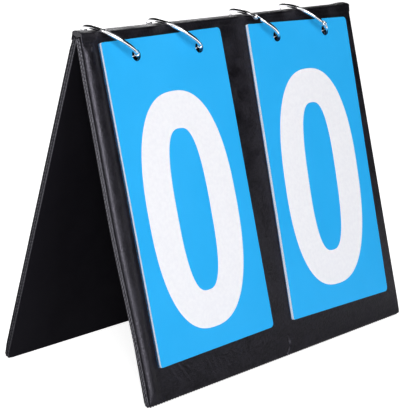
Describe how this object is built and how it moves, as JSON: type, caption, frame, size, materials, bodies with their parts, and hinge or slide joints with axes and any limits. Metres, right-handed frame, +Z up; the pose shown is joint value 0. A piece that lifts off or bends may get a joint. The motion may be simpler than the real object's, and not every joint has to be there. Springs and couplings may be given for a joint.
{
  "type": "tabletop scoreboard",
  "caption": "Folding A-frame scoreboard: two padded boards hinged at the ridge carry side-by-side packs of flip-over number cards on hinged snap rings.",
  "frame": {"origin": "on the table, under the middle of the ridge", "axes": "+X along the ridge, from the left pack of cards to the right one as a reader sees them; -Y towards the reader of the cards; +Z up"},
  "size_m": [0.2376, 0.1156, 0.1985],
  "materials": {
    "cover": "padded black leatherette, fine grain, soft sheen",
    "lining": "smooth black lining",
    "core": "greyboard",
    "edge_band": "ribbed edge band",
    "card": "coated card, plain number on a blue ground",
    "wire": "bright plated wire",
    "rivet": "steel rivet"
  },
  "bodies": {
    "front_stand": {"front_core": "core", "front_cover": "cover", "front_lining": "lining", "front_edge_band": "edge_band", "front_spine": "cover", "left_card_1": "card", "left_card_2": "card", "left_card_3": "card", "left_card_4": "card", "left_card_5": "card", "left_card_6": "card", "left_card_7": "card", "left_card_8": "card", "left_card_9": "card", "right_card_1": "card", "right_card_2": "card", "right_card_3": "card", "right_card_4": "card", "right_card_5": "card", "right_card_6": "card", "right_card_7": "card", "right_card_8": "card", "right_card_9": "card"},
    "rear_stand": {"rear_core": "core", "rear_cover": "cover", "rear_lining": "lining", "rear_edge_band": "edge_band", "rear_spine": "cover"},
    "left_front_card": {"left_card_0": "card"},
    "right_front_card": {"right_card_0": "card"},
    "ring_1": {"ring_1_fixed_half": "wire", "ring_1_rivet": "rivet"},
    "ring_1_gate": {"ring_1_gate_half": "wire"},
    "ring_2": {"ring_2_fixed_half": "wire", "ring_2_rivet": "rivet"},
    "ring_2_gate": {"ring_2_gate_half": "wire"},
    "ring_3": {"ring_3_fixed_half": "wire", "ring_3_rivet": "rivet"},
    "ring_3_gate": {"ring_3_gate_half": "wire"},
    "ring_4": {"ring_4_fixed_half": "wire", "ring_4_rivet": "rivet"},
    "ring_4_gate": {"ring_4_gate_half": "wire"}
  },
  "joints": [
    {"name": "board_fold", "type": "hinge", "parent": "front_stand", "child": "rear_stand", "pos_m": [0, 0, 0.19255], "axis": [1, 0, 0], "range_deg": [-31.2, 8]},
    {"name": "left_card_lift", "type": "hinge", "parent": "front_stand", "child": "left_front_card", "pos_m": [0, -0.00625, 0.19025], "axis": [-1, 0, 0], "range_deg": [0, 60]},
    {"name": "right_card_lift", "type": "hinge", "parent": "front_stand", "child": "right_front_card", "pos_m": [0, -0.00612, 0.19073], "axis": [-1, 0, 0], "range_deg": [0, 60]},
    {"name": "ring_1_stand_up", "type": "hinge", "parent": "front_stand", "child": "ring_1", "pos_m": [-0.0833, -0.0017, 0.18105], "axis": [0.1735, 0.9841, -0.0366], "range_deg": [0, 74]},
    {"name": "ring_2_stand_up", "type": "hinge", "parent": "front_stand", "child": "ring_2", "pos_m": [-0.0316, -0.0017, 0.18105], "axis": [0.1735, 0.9841, -0.0366], "range_deg": [0, 74]},
    {"name": "ring_3_stand_up", "type": "hinge", "parent": "front_stand", "child": "ring_3", "pos_m": [0.0395, -0.0017, 0.18153], "axis": [0.1735, 0.9841, -0.0372], "range_deg": [0, 74]},
    {"name": "ring_4_stand_up", "type": "hinge", "parent": "front_stand", "child": "ring_4", "pos_m": [0.0876, -0.0017, 0.18153], "axis": [0.1735, 0.9841, -0.0372], "range_deg": [0, 74]},
    {"name": "ring_1_gate_open", "type": "hinge", "parent": "ring_1", "child": "ring_1_gate", "pos_m": [-0.10085, 0.01394, 0.19351], "axis": [0.5393, -0.0638, 0.8397], "range_deg": [-40, 0]},
    {"name": "ring_2_gate_open", "type": "hinge", "parent": "ring_2", "child": "ring_2_gate", "pos_m": [-0.04915, 0.01394, 0.19351], "axis": [0.5393, -0.0638, 0.8397], "range_deg": [-40, 0]},
    {"name": "ring_3_gate_open", "type": "hinge", "parent": "ring_3", "child": "ring_3_gate", "pos_m": [0.01775, -0.00945, 0.19492], "axis": [-0.5393, 0.0634, -0.8398], "range_deg": [-40, 0]},
    {"name": "ring_4_gate_open", "type": "hinge", "parent": "ring_4", "child": "ring_4_gate", "pos_m": [0.07723, -0.01544, 0.18716], "axis": [-0.5393, 0.0634, -0.8398], "range_deg": [-40, 0]}
  ],
  "couplings": [
    {"joint": "ring_1_stand_up", "follows": "left_card_lift", "ratio": 1.22},
    {"joint": "ring_2_stand_up", "follows": "left_card_lift", "ratio": 1.22},
    {"joint": "ring_3_stand_up", "follows": "right_card_lift", "ratio": 1.22},
    {"joint": "ring_4_stand_up", "follows": "right_card_lift", "ratio": 1.22}
  ]
}
